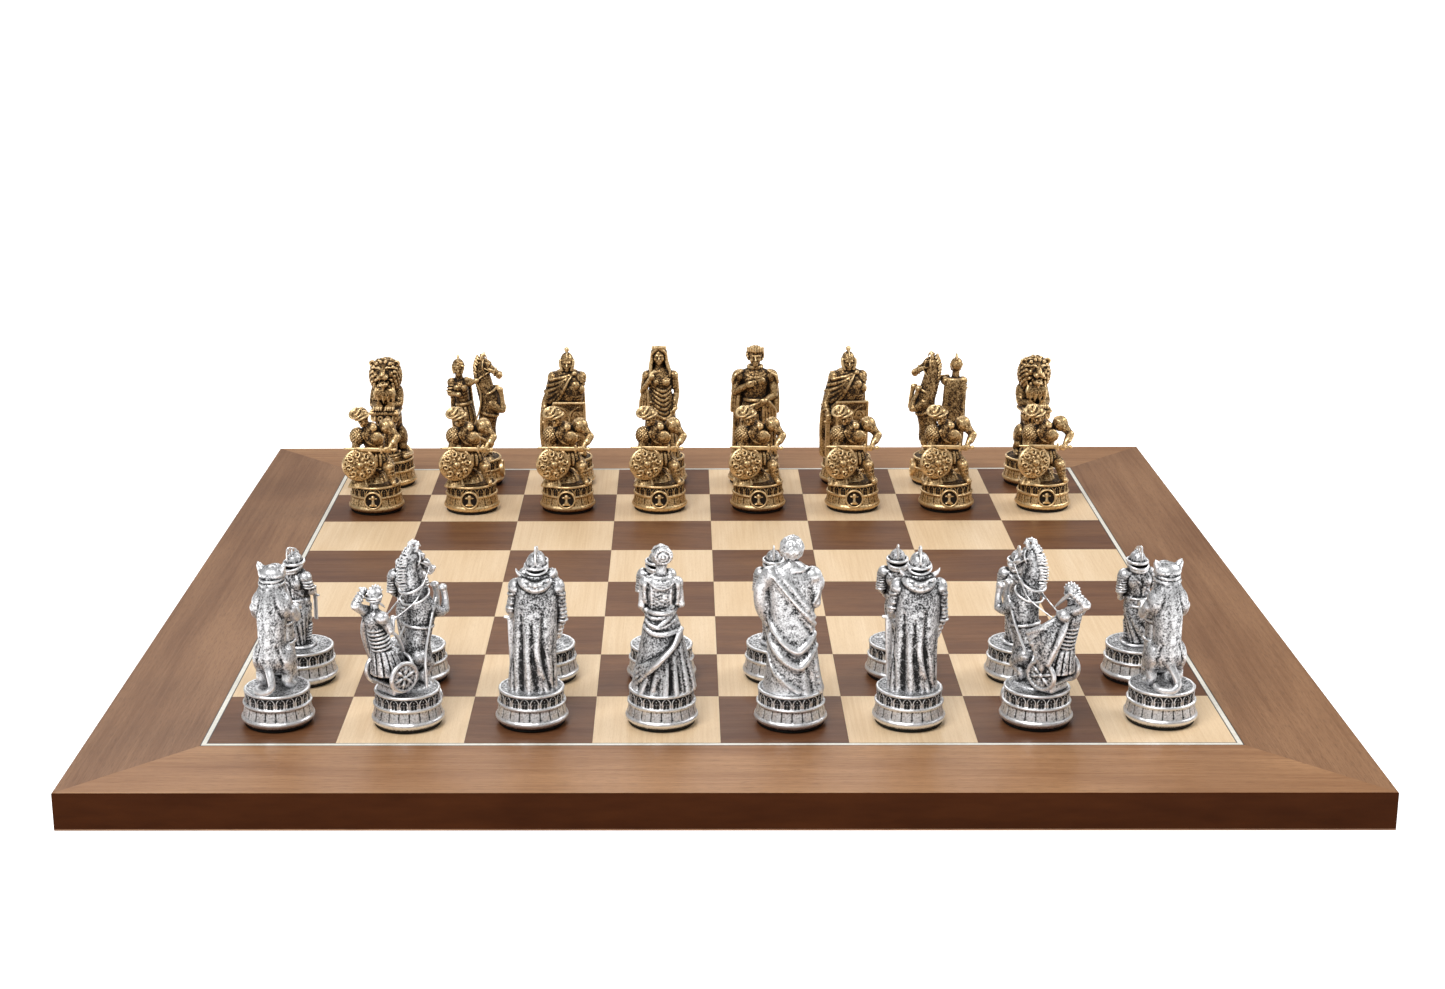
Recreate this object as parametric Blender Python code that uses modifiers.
"""Figurative chess set on its board: a veneered, inlaid board and 32 cast figures.

Metres, +Z up. The origin is the centre of the board's underside; the gold side stands at +Y and
faces -Y, and the silver side stands at -Y and faces +Y. Figures are described in millimetres in a
frame of their own: origin under the middle of the plinth, the figure facing -Y.
"""

import math

import bmesh
import bpy
from mathutils import Matrix, Vector

MM = 0.001

# ---- driving dimensions, millimetres -------------------------------------------------------
SQUARE = 50.0            # one square of the playing field
SQUARES = 8
STRINGING = 2.6          # width of the black-white-black inlay round the field
BORDER = 45.7            # width of the walnut border outside the inlay
THICKNESS = 15.0         # whole board
TOP_LAYER = 1.2          # veneers on the upper face
BACKING = 0.6            # balancing veneer on the underside
LIPPING = 3.0            # solid edge strips
GLUE_GAP = 0.1           # clearance between pieces that are glued face to face
STAND_GAP = 0.3          # clearance under a figure that stands on the board
BRIDGE = 0.3             # width of the corner bridges that hold the walnut squares together
SHEET = 0.4              # common backing of the maple squares

FIELD = SQUARE * SQUARES
INNER = FIELD / 2
INLAY_OUTER = INNER + STRINGING
OUTER = INLAY_OUTER + BORDER

# ---- the cast plinth under every figure ----------------------------------------------------
PLINTH_STEPS = 18
PLINTH_TOP = 15.0
PLINTH_PROFILE = (       # (radius, height), down the outside from the top
    (13.0, PLINTH_TOP),
    (12.6, 9.8),
    (13.7, 8.6),
    (14.6, 1.6),
    (14.1, 0.0),
)
FOOT = PLINTH_TOP - 1.5  # figures reach this far down, into the plinth, before they are joined

VOXEL = 0.75             # grain of the remesh that fuses a figure's forms into one skin
BODY_TRIANGLES = 240     # triangles kept of each fused figure

# ---- colours -------------------------------------------------------------------------------
WALNUT = (0.30, 0.17, 0.10)
WALNUT_DARK = (0.17, 0.085, 0.05)
MAPLE = (0.80, 0.62, 0.38)
EDGE_BROWN = (0.075, 0.028, 0.014)
HOLLY = (0.80, 0.76, 0.66)
FIBREBOARD = (0.42, 0.30, 0.19)
GOLD = (0.56, 0.40, 0.17)
SILVER = (0.58, 0.58, 0.60)


def clear_scene():
    for obj in list(bpy.data.objects):
        bpy.data.objects.remove(obj, do_unlink=True)


def material(name, colour, roughness, metallic=0.0):
    made = bpy.data.materials.new(name)
    made.use_nodes = True
    shader = made.node_tree.nodes["Principled BSDF"]
    shader.inputs["Base Color"].default_value = (*colour, 1.0)
    shader.inputs["Roughness"].default_value = roughness
    shader.inputs["Metallic"].default_value = metallic
    return made


def collection(name):
    made = bpy.data.collections.new(name)
    bpy.context.scene.collection.children.link(made)
    return made


def add_object(name, mesh, group, finish=None):
    obj = bpy.data.objects.new(name, mesh)
    group.objects.link(obj)
    if finish is not None:
        mesh.materials.clear()
        mesh.materials.append(finish)
    return obj


def as_helper(obj):
    obj.hide_render = True
    obj.display_type = "WIRE"
    return obj


def mesh_from(name, bm):
    mesh = bpy.data.meshes.new(name)
    bm.to_mesh(mesh)
    bm.free()
    return mesh


def evaluated_mesh(name, obj):
    """The object's mesh with its modifiers applied."""
    bpy.context.view_layer.update()
    graph = bpy.context.evaluated_depsgraph_get()
    mesh = bpy.data.meshes.new_from_object(obj.evaluated_get(graph))
    mesh.name = name
    return mesh


# ---- the board -----------------------------------------------------------------------------
def add_box(bm, low, high):
    """A box between two corners, in millimetres."""
    size = Vector(high) - Vector(low)
    centre = (Vector(high) + Vector(low)) / 2
    place = Matrix.Translation(centre * MM) @ Matrix.Diagonal((*(size * MM), 1.0))
    bmesh.ops.create_cube(bm, size=1.0, matrix=place)


def box_mesh(name, low, high):
    bm = bmesh.new()
    add_box(bm, low, high)
    return mesh_from(name, bm)


def slab(half, bottom, top):
    return (-half, -half, bottom), (half, half, top)


def mitred_strip(name, inner, outer, bottom, top, turn, group, finish):
    """One of four mitred strips round a square: a flat outline, extruded, turned about Z."""
    gap = GLUE_GAP / 2
    corners = (
        (-outer + gap, -outer),
        (outer - gap, -outer),
        (inner - gap, -inner),
        (-inner + gap, -inner),
    )
    outline = bpy.data.curves.new(name, "CURVE")
    outline.dimensions = "2D"
    outline.fill_mode = "BOTH"
    outline.extrude = (top - bottom) / 2 * MM
    line = outline.splines.new("POLY")
    line.points.add(len(corners) - 1)
    for point, (x, y) in zip(line.points, corners):
        point.co = (x * MM, y * MM, 0.0, 1.0)
    line.use_cyclic_u = True
    strip = bpy.data.objects.new(name, outline)
    group.objects.link(strip)
    strip.location = (0.0, 0.0, (top + bottom) / 2 * MM)
    strip.rotation_euler = (0.0, 0.0, turn)
    outline.materials.append(finish)
    return strip


SIDES = {"front": 0.0, "right": math.pi / 2, "back": math.pi, "left": -math.pi / 2}


def square_boxes(dark, inset, bottom, top):
    """A mesh of separate boxes, one on each dark or each light square."""
    bm = bmesh.new()
    for column in range(SQUARES):
        for row in range(SQUARES):
            if ((column + row) % 2 == 0) != dark:
                continue
            x = -INNER + column * SQUARE
            y = -INNER + row * SQUARE
            low = (x + inset, y + inset, bottom)
            high = (x + SQUARE - inset, y + SQUARE - inset, top)
            add_box(bm, low, high)
    return mesh_from("square_boxes", bm)


def boolean(obj, operation, other):
    step = obj.modifiers.new(operation.lower(), "BOOLEAN")
    step.operation = operation
    step.object = other
    step.solver = "EXACT"
    return step


def make_field(group, cutters):
    """Maple squares stand up from a thin common sheet through windows between the walnut squares."""
    bottom = THICKNESS - TOP_LAYER
    sheet_top = bottom + SHEET
    half = INNER - GLUE_GAP / 2
    maple = add_object(
        "maple_squares",
        box_mesh("maple_sheet", *slab(half, bottom, sheet_top)),
        group,
        material("maple", MAPLE, 0.4),
    )
    raised = square_boxes(False, BRIDGE / 2 + GLUE_GAP, bottom + SHEET / 2, THICKNESS)
    boolean(maple, "UNION", as_helper(add_object("maple_raised", raised, cutters)))

    walnut = add_object(
        "walnut_squares",
        box_mesh("walnut_sheet", *slab(half, sheet_top + GLUE_GAP, THICKNESS)),
        group,
        material("walnut_dark", WALNUT_DARK, 0.4),
    )
    windows = square_boxes(False, BRIDGE / 2, bottom, THICKNESS + 1.0)
    boolean(walnut, "DIFFERENCE", as_helper(add_object("walnut_windows", windows, cutters)))


def make_board(group, cutters):
    top_bottom = THICKNESS - TOP_LAYER
    core_half = OUTER - LIPPING - GLUE_GAP
    add_object(
        "core_panel",
        box_mesh("core_panel", *slab(core_half, BACKING + GLUE_GAP, top_bottom - GLUE_GAP)),
        group,
        material("fibreboard", FIBREBOARD, 0.8),
    )
    walnut = material("walnut", WALNUT, 0.4)
    add_object("backing_veneer", box_mesh("backing_veneer", *slab(OUTER, 0.0, BACKING)), group, walnut)
    brown = material("edge_brown", EDGE_BROWN, 0.45)
    holly = material("holly", HOLLY, 0.4)
    rings = (
        ("edge_lipping", OUTER - LIPPING, OUTER, BACKING + GLUE_GAP, top_bottom - GLUE_GAP, brown),
        ("border_veneer", INLAY_OUTER + GLUE_GAP, OUTER, top_bottom, THICKNESS, walnut),
        ("inlay_strip", INNER + GLUE_GAP, INLAY_OUTER, top_bottom, THICKNESS, holly),
    )
    for stem, inner, outer, bottom, top, finish in rings:
        for side, turn in SIDES.items():
            mitred_strip(f"{stem}_{side}", inner, outer, bottom, top, turn, group, finish)
    make_field(group, cutters)


# ---- forms that figures are built from ------------------------------------------------------
BALL_SEGMENTS = 14
BALL_RINGS = 9


class Figure:
    """Collects overlapping closed forms, in millimetres, for one figure."""

    def __init__(self):
        self.bm = bmesh.new()

    def ball(self, centre, radii, turn=0.0):
        place = (
            Matrix.Translation(Vector(centre) * MM)
            @ Matrix.Rotation(math.radians(turn), 4, "Y")
            @ Matrix.Diagonal((*(Vector(radii) * MM), 1.0))
        )
        bmesh.ops.create_uvsphere(
            self.bm, u_segments=BALL_SEGMENTS, v_segments=BALL_RINGS, radius=1.0, matrix=place
        )

    def limb(self, start, start_radius, end, end_radius):
        """A tapered limb with round ends."""
        a, b = Vector(start), Vector(end)
        along = b - a
        turn = along.to_track_quat("Z", "Y").to_matrix().to_4x4()
        place = Matrix.Translation((a + b) / 2 * MM) @ turn
        bmesh.ops.create_cone(
            self.bm,
            cap_ends=True,
            segments=BALL_SEGMENTS,
            radius1=start_radius * MM,
            radius2=end_radius * MM,
            depth=along.length * MM,
            matrix=place,
        )
        self.ball(start, (start_radius,) * 3)
        self.ball(end, (end_radius,) * 3)

    def chain(self, *points):
        """Limbs through (x, y, z, radius) points."""
        for a, b in zip(points, points[1:]):
            self.limb(a[:3], a[3], b[:3], b[3])

    def mass(self, centre_low, half_low, centre_high, half_high):
        """A draped mass: an upright elliptic frustum between two (half width, half depth)."""
        low, high = Vector(centre_low), Vector(centre_high)
        made = bmesh.ops.create_cone(
            self.bm,
            cap_ends=True,
            segments=BALL_SEGMENTS + 2,
            radius1=1.0,
            radius2=1.0,
            depth=2.0,
        )
        for vert in made["verts"]:
            upper = vert.co.z > 0
            centre, half = (high, half_high) if upper else (low, half_low)
            vert.co = Vector((vert.co.x * half[0], vert.co.y * half[1], 0.0)) + centre
            vert.co *= MM

    def plate(self, centre, half, turn=0.0):
        """A flat plate, such as a shield, turned about Z."""
        place = (
            Matrix.Translation(Vector(centre) * MM)
            @ Matrix.Rotation(math.radians(turn), 4, "Z")
            @ Matrix.Diagonal((*(Vector(half) * 2 * MM), 1.0))
        )
        bmesh.ops.create_cube(self.bm, size=1.0, matrix=place)

    def disc(self, centre, radius, thickness, turn=0.0):
        """A round plate standing upright, such as a shield or a wheel, turned about Z."""
        place = (
            Matrix.Translation(Vector(centre) * MM)
            @ Matrix.Rotation(math.radians(turn), 4, "Z")
            @ Matrix.Rotation(math.pi / 2, 4, "X")
        )
        bmesh.ops.create_cone(
            self.bm,
            cap_ends=True,
            segments=BALL_SEGMENTS,
            radius1=radius * MM,
            radius2=radius * MM,
            depth=thickness * MM,
            matrix=place,
        )


# ---- the twelve sculptures -------------------------------------------------------------------
def gold_king():
    """Emperor in cuirass and cloak, wreathed, with a hand at the chest."""
    f = Figure()
    f.chain((-3.4, -1, FOOT, 3.0), (-3.2, -1, 32, 3.4))
    f.chain((3.4, -1, FOOT, 3.0), (3.2, -1, 32, 3.4))
    f.mass((0, 3.5, FOOT), (10.5, 4.0), (0, 2.6, 58), (9.0, 4.0))
    f.mass((0, 0, 28), (7.5, 5.5), (0, 0, 44), (5.6, 4.2))
    f.ball((0, -0.4, 51), (7.4, 5.0, 10.5))
    f.chain((-8.4, 0, 57.5, 3.4), (-10.6, -2, 48, 2.4), (-2.8, -5.8, 53, 1.8))
    f.chain((8.4, 0, 57.5, 3.4), (10.8, 0, 47, 2.6), (4.6, -6.0, 43, 1.8))
    f.chain((7.4, -3.6, 43, 2.4), (8.6, -2.6, 22, 2.6))
    f.chain((0, 0, 59, 3.0), (0, -0.6, 66, 2.2))
    f.ball((0, -0.8, 70.3), (4.3, 4.6, 5.7))
    return f


def gold_queen():
    """Empress in a draped gown, long hair and a diadem."""
    f = Figure()
    f.mass((0, 0.5, FOOT), (10.5, 8.0), (0, 0, 42), (6.8, 4.8))
    f.mass((0, 0, 40), (6.8, 4.8), (0, 0, 58), (6.4, 4.0))
    f.ball((0, -1.8, 54), (5.2, 3.6, 4.2))
    f.chain((-6.6, 0, 57, 2.8), (-8.8, -1.4, 47, 2.0), (-2.2, -5.2, 56, 1.7))
    f.chain((6.6, 0, 57, 2.8), (8.6, 0, 47, 2.1), (7.4, -2.8, 37.5, 1.9))
    f.chain((0, 0, 58, 2.6), (0, -0.4, 66, 2.0))
    f.ball((0, -0.8, 68.9), (3.8, 4.2, 5.9))
    f.ball((0, 1.8, 64), (5.4, 3.4, 7.0))
    return f


def gold_bishop():
    """Officer in a cloak, helmeted, behind a tall shield, sword pointing down."""
    f = Figure()
    f.mass((0, 1.2, FOOT), (11.0, 7.4), (0, 0.6, 48), (10.6, 6.0))
    f.mass((0, 0.6, 47), (10.6, 6.0), (0, 0, 60), (6.0, 3.6))
    f.plate((0.6, -8.0, 30), (8.9, 1.3, 15.6))
    f.chain((-9.6, -1, 50, 2.6), (-9.6, -5.4, 39, 2.0), (-8.8, -7.0, 20, 0.9))
    f.chain((0, 0, 59, 2.8), (0, -0.8, 65, 2.4))
    f.ball((0, -0.8, 66.0), (4.0, 4.4, 5.0))
    f.chain((0, -0.8, 69.6, 1.3), (0, -0.8, 73.4, 1.3))
    return f


def horse(f, side, rump, chest, withers, poll, muzzle, knee_z):
    """A rearing horse that rises towards +side, leaning on its hind legs."""
    f.chain((*rump, 5.6), (*chest, 5.2))
    f.chain((*chest, 4.8), (*withers, 4.0), (*poll, 3.0), (*muzzle, 1.7))
    x, y, z = chest
    for leg in (-2.6, 2.6):
        knee = (x + side * 6.6, y + leg, knee_z, 1.8)
        f.chain((x + side * 2, y + leg, z, 2.6), knee, (knee[0] + side * 1.0, y + leg, knee_z + 9, 1.6))
        hind = (rump[0] + side * 3.5, rump[1] + leg, rump[2] - 6)
        f.chain((rump[0], rump[1] + leg, rump[2], 4.0), (*hind, 2.4), (hind[0] - side * 2, hind[1], FOOT, 2.0))


def gold_knight():
    """Helmeted driver in a long cape beside a rearing horse, on a small chariot."""
    f = Figure()
    horse(f, 1, (2.5, 1, 29), (7.0, 0, 45), (5.2, 0, 55), (3.2, -0.4, 68.4), (9.4, -0.6, 64.0), 42)
    f.mass((-8, 3.5, 20), (6.4, 3.4), (-8, 2.4, 57), (4.8, 2.4))
    f.ball((-8, -0.4, 49), (4.4, 3.6, 8.6))
    f.mass((-8, -0.5, FOOT), (3.8, 3.6), (-8, -0.5, 44), (4.2, 3.4))
    f.chain((-11.4, -0.5, 54, 2.2), (-13.2, -2.2, 48.4, 1.7), (-9.4, -4.6, 50, 1.5))
    f.chain((-5.2, -0.8, 54, 2.2), (1.6, -2.6, 55.6, 1.5))
    f.ball((-9, -1, 62.0), (3.2, 3.4, 4.8))
    f.chain((-9, -1, 65.6, 1.4), (-9, -1, 68.6, 1.1))
    f.disc((-3.5, -7.8, 20.4), 7.2, 2.4, 12)
    f.disc((-3.5, 7.8, 20.4), 7.2, 2.4, -12)
    f.plate((-4.0, 0, 19.5), (7.4, 8.0, 2.0))
    return f


def gold_rook():
    """Maned lion sitting up with its forepaws on a column."""
    f = Figure()
    f.mass((0, -5.2, FOOT), (6.2, 6.2), (0, -5.2, 17), (5.2, 5.2))
    f.mass((0, -5.2, 16), (4.8, 4.8), (0, -5.2, 31), (4.4, 4.4))
    f.mass((0, -5.2, 29.6), (5.0, 5.0), (0, -5.2, 36.6), (8.0, 6.8))
    f.chain((0, 5.0, 22, 7.4), (0, 3.8, 36, 7.0), (0, 0.6, 49, 7.4))
    f.ball((0, -2.0, 58.4), (9.4, 8.4, 11.2))
    f.ball((0, -9.0, 56), (4.4, 4.0, 4.6))
    for side in (-1, 1):
        f.chain((side * 6, 0, 47, 3.2), (side * 4.6, -8.6, 38.4, 2.6))
        f.chain((side * 6.4, 6, 20, 5.0), (side * 7.2, 0, FOOT + 1.5, 2.6))
    f.chain((0, 10.0, FOOT + 2, 1.5), (8.2, 8.8, 22, 1.4), (8.6, 6.4, 30, 1.4))
    return f


def gold_pawn():
    """Legionary crouching behind a round shield, short sword held level."""
    f = Figure()
    f.disc((-8.6, -8.2, 25.4), 9.4, 2.4, -12)
    f.mass((-1, 0.5, FOOT), (9.4, 8.2), (0, 1, 27), (7.4, 6.4))
    f.ball((1.0, 1.0, 33), (8.0, 6.2, 9.4))
    f.ball((1.4, -2.6, 40), (6.0, 4.4, 5.6))
    f.chain((-7.0, 0.6, 41, 4.4), (-8.6, -4.6, 34, 3.2))
    f.chain((6.2, -1.0, 43.4, 3.6), (12.0, -2.6, 38.6, 2.2), (5.6, -8.4, 33.6, 1.9))
    f.chain((9.0, -9.2, 33.2, 1.1), (-18.6, -9.6, 34.8, 0.8))
    f.chain((6.0, -2, 27, 3.6), (9.4, -4.4, FOOT + 2.5, 2.4))
    f.ball((-6.2, -3.0, 47.2), (4.2, 4.4, 4.8))
    f.disc((-8.8, -4.4, 50.3), 4.0, 2.2, 30)
    return f


def silver_king():
    """Ruler in a toga wrapped over one shoulder, an arm folded to the chest."""
    f = Figure()
    f.mass((-0.6, 0, FOOT), (12.0, 9.6), (0, 0, 36), (9.2, 6.6))
    f.mass((0, 0, 35), (9.2, 6.6), (0, 0, 58), (9.0, 5.2))
    f.ball((0, 0.4, 58), (9.6, 5.2, 6.4))
    f.chain((-8.8, 0, 60, 3.4), (-11.6, -1.6, 53, 2.6), (-4.0, -6.0, 54, 2.0))
    f.chain((8.8, 0, 60, 3.4), (9.8, -1.6, 49, 2.8), (6.0, -6.4, 45, 2.2))
    f.chain((0, 0, 62, 2.8), (0, -0.2, 68, 2.3))
    f.ball((0, -0.4, 71.4), (4.6, 4.8, 5.5))
    return f


def silver_queen():
    """Lady in a laced bodice and wide wrapped skirt, hair in a bun."""
    f = Figure()
    f.mass((0, 0.4, FOOT), (12.6, 10.4), (0, 0, 42), (7.4, 5.6))
    f.mass((0, 0, 41), (7.4, 5.6), (0, 0, 60), (7.0, 4.2))
    f.ball((0, -2.0, 56.6), (5.6, 3.6, 4.2))
    f.chain((-7.4, 0, 59.6, 2.8), (-9.4, -1.0, 50, 2.1), (-4.6, -5.6, 45, 1.8))
    f.chain((7.4, 0, 59.6, 2.8), (9.4, -1.0, 50, 2.1), (4.6, -5.6, 47, 1.8))
    f.chain((0, 0, 59, 2.4), (0, -0.2, 66, 2.0))
    f.ball((0, -0.6, 69), (3.9, 4.3, 5.2))
    f.ball((0, 3.4, 70.6), (3.2, 2.8, 3.2))
    return f


def silver_bishop():
    """Champion in a full-length cloak with a crescent collar and a finned helmet."""
    f = Figure()
    f.mass((0, 1.5, FOOT), (10.2, 7.6), (0, 1, 40), (8.6, 5.8))
    f.mass((0, 1, 39), (8.6, 5.8), (0, 0.6, 60), (8.2, 4.6))
    f.chain((-8.4, 0, 58.6, 3.4), (-10.4, -2, 47, 2.5), (-9.6, -4.6, 36, 2.2))
    f.chain((8.4, 0, 58.6, 3.4), (10.4, -2, 47, 2.5), (9.6, -4.6, 36, 2.2))
    f.ball((0, 1.2, 60.4), (7.4, 5.0, 2.6))
    f.ball((0, -0.6, 65.6), (4.5, 4.9, 5.2))
    f.plate((0, 1.2, 69.2), (0.8, 3.4, 3.5))
    return f


def silver_knight():
    """Charioteer with raised arms behind a rearing horse, on a wheeled car."""
    f = Figure()
    horse(f, 1, (4.0, -1, 29), (6.0, -0.6, 46), (3.6, -0.6, 56), (1.6, -0.6, 70.2), (8.6, -0.6, 65.4), 45)
    f.mass((-7.4, 0.5, FOOT + 4), (3.6, 3.4), (-7.4, 0.5, 40), (4.4, 3.4))
    f.ball((-7.4, 0.4, 44), (4.8, 3.8, 7.8))
    f.ball((-8.4, 0, 53.6), (3.0, 3.2, 3.8))
    for side in (-1, 1):
        f.chain((-8 + side * 3.6, 0.4, 49.4, 2.1), (-12 + side * 1.6, 0.2, 53.6, 1.8), (-11.8, -0.4, 59, 1.5))
    f.mass((-3.4, 5.4, 24), (6.0, 2.2), (-5.6, 4.2, 46), (4.2, 2.0))
    f.disc((-6.4, 7.2, 22.0), 7.0, 2.2, 0)
    f.disc((-6.4, -7.2, 22.0), 7.0, 2.2, 0)
    f.plate((-6.4, 0, 19.8), (6.4, 6.8, 2.0), 0)
    f.chain((-11.4, -4, 18.8, 1.5), (-12.0, 0, 27, 1.5), (-11.4, 4, 18.8, 1.5))
    return f


def silver_rook():
    """Collared leopard reared on its hind legs, tail curled round its feet."""
    f = Figure()
    f.chain((0, 1.0, 25, 6.6), (0, 1.6, 36, 6.8), (0, 0.4, 49, 6.2), (0, -0.6, 55.4, 5.0))
    f.ball((0, -1.8, 58.8), (5.8, 6.2, 4.8))
    f.ball((0, -7.0, 57.4), (3.4, 3.2, 3.0))
    for side in (-1, 1):
        f.chain((side * 4.4, -0.6, 62, 1.6), (side * 4.8, -0.6, 63.4, 1.1))
        f.chain((side * 5.4, -1.6, 47, 2.9), (side * 5.8, -7.4, 41, 2.3), (side * 4.8, -10.2, 45, 1.9))
        f.chain((side * 4.6, 0.6, 24, 4.6), (side * 5.4, -3.0, 18, 3.0), (side * 5.2, -2.0, FOOT + 1, 2.6))
    f.chain((0, 6.4, 24, 1.8), (1.0, 8.8, 19, 1.6), (3.4, 10.0, FOOT + 2.6, 1.5), (-3.0, 8.8, FOOT + 2.2, 1.4))
    return f


def silver_pawn():
    """Gladiator standing with a finned helmet, curved shield and short sword."""
    f = Figure()
    f.chain((-3.4, 0.8, FOOT, 2.8), (-3.0, 0.4, 27, 3.2))
    f.chain((3.4, -1.6, FOOT, 2.8), (3.0, 0, 27, 3.2))
    f.mass((0, 0.2, 23), (6.6, 5.2), (0, 0, 34), (5.6, 4.2))
    f.ball((0, 0, 38), (6.8, 4.6, 8.4))
    f.chain((-6.8, 0, 42.4, 2.9), (-8.8, -2.2, 35, 2.2), (-7.2, -8.0, 33, 1.8))
    f.chain((6.8, 0, 42.4, 2.9), (8.6, -2.4, 35.4, 2.2), (6.4, -6.6, 33, 2.0))
    f.plate((6.4, -8.2, 30), (5.6, 1.3, 9.6), 14)
    f.chain((-7.2, -8.2, 32.6, 1.0), (-6.6, -9.6, 46, 0.8))
    f.ball((0, -0.6, 48.8), (4.5, 4.9, 5.0))
    f.plate((0, 1.2, 53.9), (0.8, 3.2, 3.4))
    return f


def fused_body(figure, name, cutters):
    """One closed skin over all of a figure's forms, thinned to a working number of triangles."""
    bmesh.ops.recalc_face_normals(figure.bm, faces=figure.bm.faces)
    raw = add_object(f"{name}_forms", mesh_from(f"{name}_forms", figure.bm), cutters)
    skin = raw.modifiers.new("fuse", "REMESH")
    skin.mode = "VOXEL"
    skin.voxel_size = VOXEL * MM
    dense = len(evaluated_mesh("count", raw).polygons) * 2
    thin = raw.modifiers.new("thin", "DECIMATE")
    thin.ratio = BODY_TRIANGLES / dense
    thin.use_collapse_triangulate = True
    body = add_object(f"{name}_body", evaluated_mesh(f"{name}_body", raw), cutters)
    as_helper(raw)
    return as_helper(body)


def plinth(name, group):
    """The turned plinth: a profile screwed round Z, closed at both ends."""
    bm = bmesh.new()
    radii = [(0.0, PLINTH_TOP), *PLINTH_PROFILE, (0.0, 0.0)]
    verts = [bm.verts.new((r * MM, 0.0, z * MM)) for r, z in radii]
    for a, b in zip(verts, verts[1:]):
        bm.edges.new((a, b))
    turned = add_object(name, mesh_from(name, bm), group)
    screw = turned.modifiers.new("turn", "SCREW")
    screw.steps = screw.render_steps = PLINTH_STEPS
    screw.use_merge_vertices = True
    screw.merge_threshold = 0.00001
    return turned


def casting_mesh(name, figure, cutters):
    """Plinth and figure joined into one casting."""
    body = fused_body(figure, name, cutters)
    whole = plinth(f"{name}_casting", cutters)
    boolean(whole, "UNION", body)
    mesh = evaluated_mesh(name, whole)
    as_helper(whole)
    return mesh


# Where each figure stands: (file, rank, offset x, offset y, turn in degrees). Files run a to h
# along +X, ranks 1 to 8 along +Y. Figures are set down by hand, so they stand a little off centre.
PLACES = {
    "gold": {
        "rook": ((0, 7, 0.1, -2.0, -3), (7, 7, -0.2, -1.0, 8)),
        "knight": ((1, 7, -1.9, -0.9, 0), (6, 7, -0.5, -0.7, 180)),
        "bishop": ((2, 7, -2.0, -0.5, 0), (5, 7, 0.0, 0.5, 6)),
        "queen": ((3, 7, -1.6, 0.1, 0),),
        "king": ((4, 7, -0.2, 0.5, 0),),
        "pawn": tuple(
            (column, 6, dx, 0.4 * column - 1.6, 0)
            for column, dx in enumerate((-0.9, -0.6, -0.1, -1.7, 0.0, -0.2, -0.8, -0.1))
        ),
    },
    "silver": {
        "rook": ((0, 0, -1.1, -2.2, -12), (7, 0, 0.4, -0.4, 10)),
        "knight": ((1, 0, 0.9, -3.2, -135), (6, 0, 0.7, -1.8, -45)),
        "bishop": ((2, 0, 0.2, -2.0, 0), (5, 0, 0.1, -2.2, 0)),
        "queen": ((3, 0, 1.9, -2.0, 0),),
        "king": ((4, 0, 3.1, -2.8, 0),),
        "pawn": tuple(
            (column, 1, dx, dy, turn)
            for column, (dx, dy, turn) in enumerate(
                (
                    (1.1, -3.6, -34),
                    (-2.0, -2.6, 0),
                    (2.2, -1.4, 0),
                    (1.4, -2.2, 0),
                    (0.0, -1.0, 0),
                    (1.4, 0.4, 0),
                    (1.1, -1.4, 0),
                    (0.0, -2.0, 14),
                )
            )
        ),
    },
}
FILES = "abcdefgh"
FACING = {"gold": 0.0, "silver": 180.0}
SCULPTURES = {
    "gold": (gold_king, gold_queen, gold_bishop, gold_knight, gold_rook, gold_pawn),
    "silver": (silver_king, silver_queen, silver_bishop, silver_knight, silver_rook, silver_pawn),
}


def place_castings(mesh, side, kind, group):
    """One object for each copy of a casting, all sharing its mesh."""
    spots = PLACES[side][kind]
    for column, row, dx, dy, turn in spots:
        name = f"{side}_{kind}" if len(spots) == 1 else f"{side}_{kind}_{FILES[column]}"
        piece = add_object(name, mesh, group)
        x = -INNER + (column + 0.5) * SQUARE + dx
        y = -INNER + (row + 0.5) * SQUARE + dy
        piece.location = (x * MM, y * MM, (THICKNESS + STAND_GAP) * MM)
        piece.rotation_euler = (0.0, 0.0, math.radians(FACING[side] + turn))


def make_castings(group, cutters):
    finishes = {
        "gold": material("antique_gold", GOLD, 0.35, 0.9),
        "silver": material("antique_silver", SILVER, 0.35, 0.9),
    }
    for side, makers in SCULPTURES.items():
        for maker in makers:
            kind = maker.__name__.split("_")[1]
            mesh = casting_mesh(maker.__name__, maker(), cutters)
            mesh.materials.clear()
            mesh.materials.append(finishes[side])
            place_castings(mesh, side, kind, group)


def main():
    clear_scene()
    parts = collection("chess_set")
    cutters = collection("cutters")
    make_board(parts, cutters)
    make_castings(parts, cutters)


main()
